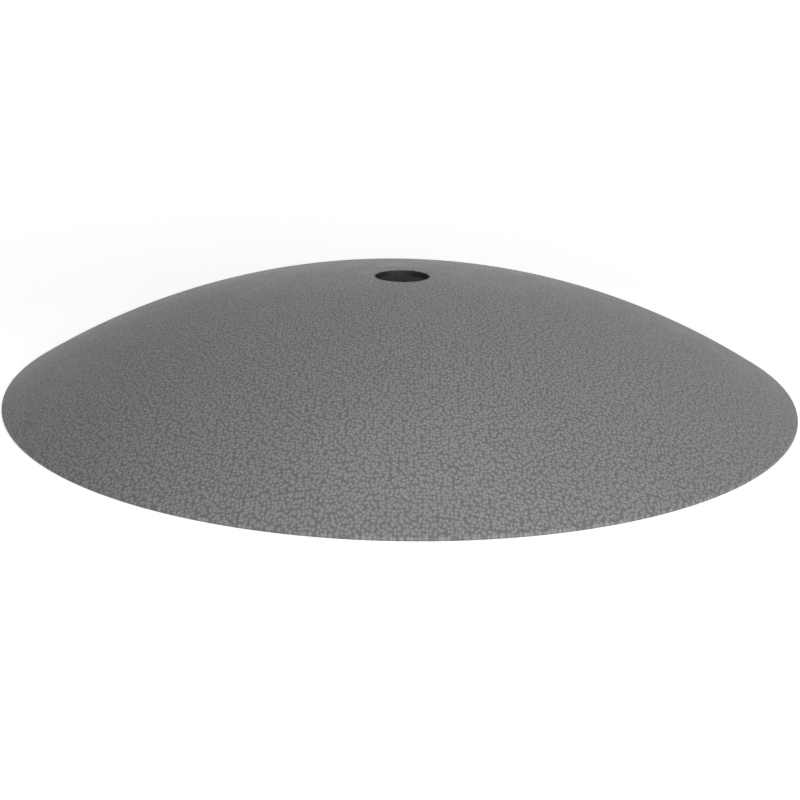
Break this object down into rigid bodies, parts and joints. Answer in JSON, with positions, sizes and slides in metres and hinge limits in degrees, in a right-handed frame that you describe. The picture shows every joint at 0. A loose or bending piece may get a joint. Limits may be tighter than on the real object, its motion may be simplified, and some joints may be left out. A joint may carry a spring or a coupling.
{
  "type": "harrow disc blade",
  "caption": "Round dished steel blade with a plain cutting edge and a central axle hole, which slices and turns soil on a disc harrow.",
  "frame": {"origin": "centre of the circle that the cutting edge rests on, on the blade's axis", "axes": "+Z along the gang axle, out of the convex back; X and Y lie in the plane of the cutting edge, and the blade is the same all round"},
  "size_m": [0.56, 0.56, 0.0806],
  "materials": {
    "blade_steel": "satin grey coating over heat-treated steel, with a ground cutting edge"
  },
  "bodies": {
    "root": {"disc_blade": "blade_steel"}
  },
  "joints": []
}
